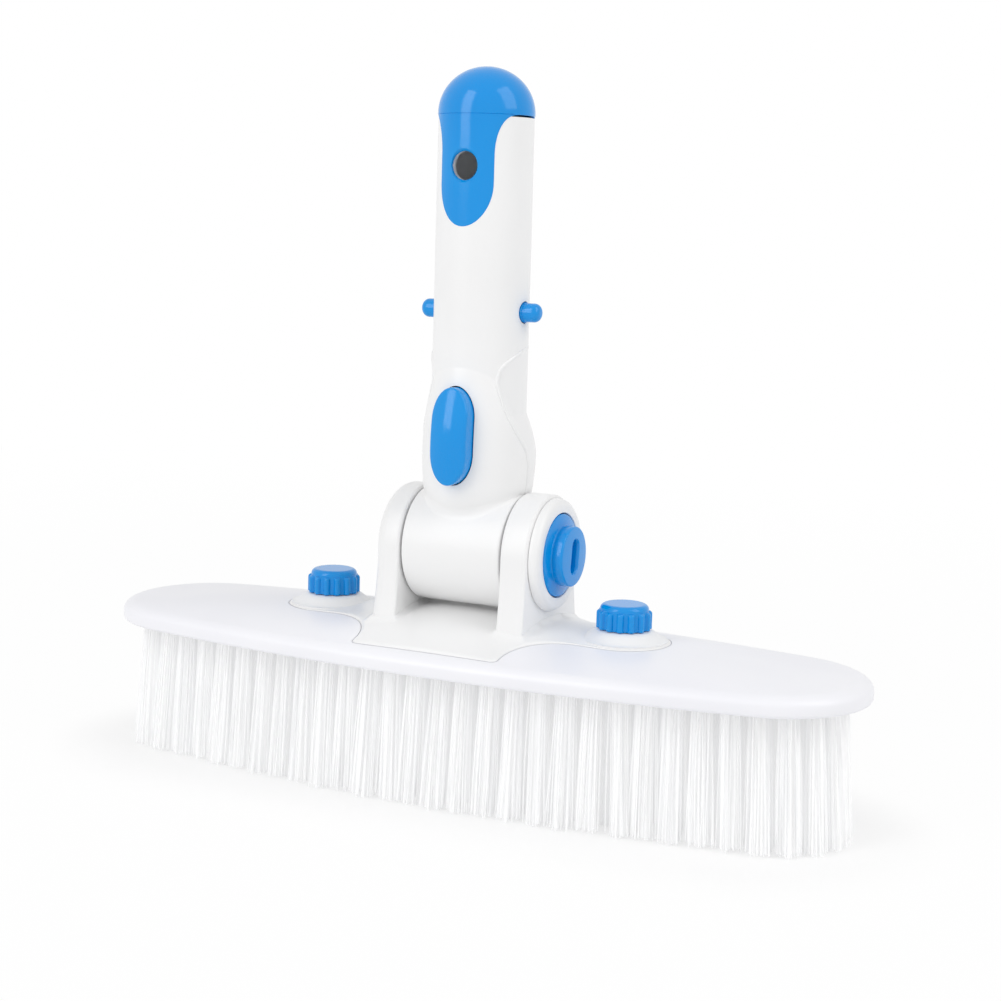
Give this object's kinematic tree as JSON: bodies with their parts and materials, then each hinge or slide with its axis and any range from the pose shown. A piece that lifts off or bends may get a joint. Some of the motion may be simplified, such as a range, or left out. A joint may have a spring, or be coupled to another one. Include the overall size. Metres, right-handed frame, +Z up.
{
  "type": "pool wall brush",
  "caption": "Pool wall brush: oval crowned head of white bristles, a locking tilt pivot with a release button, and a spigot with snap pins that clips into a pole.",
  "frame": {"origin": "middle of the head at the height of the longest bristle tips", "axes": "+X along the head, -Y towards the release button's side, +Z up along the handle"},
  "size_m": [0.254, 0.078, 0.2227],
  "materials": {
    "plate_plastic": "smooth moulded",
    "white_plastic": "smooth moulded",
    "blue_plastic": "glossy moulded",
    "bristle_nylon": "drawn nylon",
    "cream_nylon": "moulded nylon",
    "steel": "plain",
    "brass": "turned"
  },
  "bodies": {
    "brush_head": {"brush_plate": "plate_plastic", "bristle_tufts": "bristle_nylon", "pivot_bracket": "white_plastic", "clamp_studs": "steel", "stud_washers": "steel", "pivot_axle": "steel", "detent_wheel": "cream_nylon"},
    "handle": {"front_shell": "white_plastic", "rear_shell": "white_plastic", "shell_screws": "steel", "handle_tube": "white_plastic", "end_cap": "blue_plastic", "pivot_bushes": "cream_nylon", "button_spring": "steel", "bolt_spring": "steel", "clip_spring": "steel"},
    "release_button": {"release_button": "blue_plastic"},
    "lock_bolt": {"lock_bolt": "cream_nylon"},
    "left_clip_pin": {"left_clip_pin": "blue_plastic"},
    "right_clip_pin": {"right_clip_pin": "blue_plastic"},
    "left_knob": {"left_knob": "blue_plastic", "left_knob_insert": "brass"},
    "right_knob": {"right_knob": "blue_plastic", "right_knob_insert": "brass"},
    "pivot_cap": {"pivot_cap": "blue_plastic"}
  },
  "joints": [
    {"name": "handle_tilt", "type": "hinge", "parent": "brush_head", "child": "handle", "pos_m": [0, 0, 0.0754], "axis": [1, 0, 0], "range_deg": [-90, 90]},
    {"name": "button_press", "type": "slide", "parent": "handle", "child": "release_button", "axis": [0, 1, 0], "range_m": [0, 0.003], "stiffness_N_per_m": 800, "springref_m": -0.002, "deforming": ["button_spring"]},
    {"name": "lock_bolt_lift", "type": "slide", "parent": "handle", "child": "lock_bolt", "axis": [0, 0, 1], "range_m": [0, 0.003], "stiffness_N_per_m": 300, "springref_m": -0.002, "deforming": ["bolt_spring"]},
    {"name": "left_pin_press", "type": "slide", "parent": "handle", "child": "left_clip_pin", "axis": [1, 0, 0], "range_m": [0, 0.0052], "stiffness_N_per_m": 900, "springref_m": -0.002, "deforming": ["clip_spring"]},
    {"name": "right_pin_press", "type": "slide", "parent": "handle", "child": "right_clip_pin", "axis": [-1, 0, 0], "range_m": [0, 0.0052], "stiffness_N_per_m": 900, "springref_m": -0.002, "deforming": ["clip_spring"]},
    {"name": "left_knob_turn", "type": "hinge", "parent": "brush_head", "child": "left_knob", "pos_m": [-0.0508, 0, 0.0596], "axis": [0, 0, 1], "continuous": true},
    {"name": "right_knob_turn", "type": "hinge", "parent": "brush_head", "child": "right_knob", "pos_m": [0.0508, 0, 0.0596], "axis": [0, 0, 1], "continuous": true},
    {"name": "pivot_cap_turn", "type": "hinge", "parent": "brush_head", "child": "pivot_cap", "pos_m": [0.0293, 0, 0.0754], "axis": [1, 0, 0], "continuous": true}
  ],
  "couplings": [
    {"joint": "lock_bolt_lift", "follows": "button_press", "ratio": 1}
  ]
}
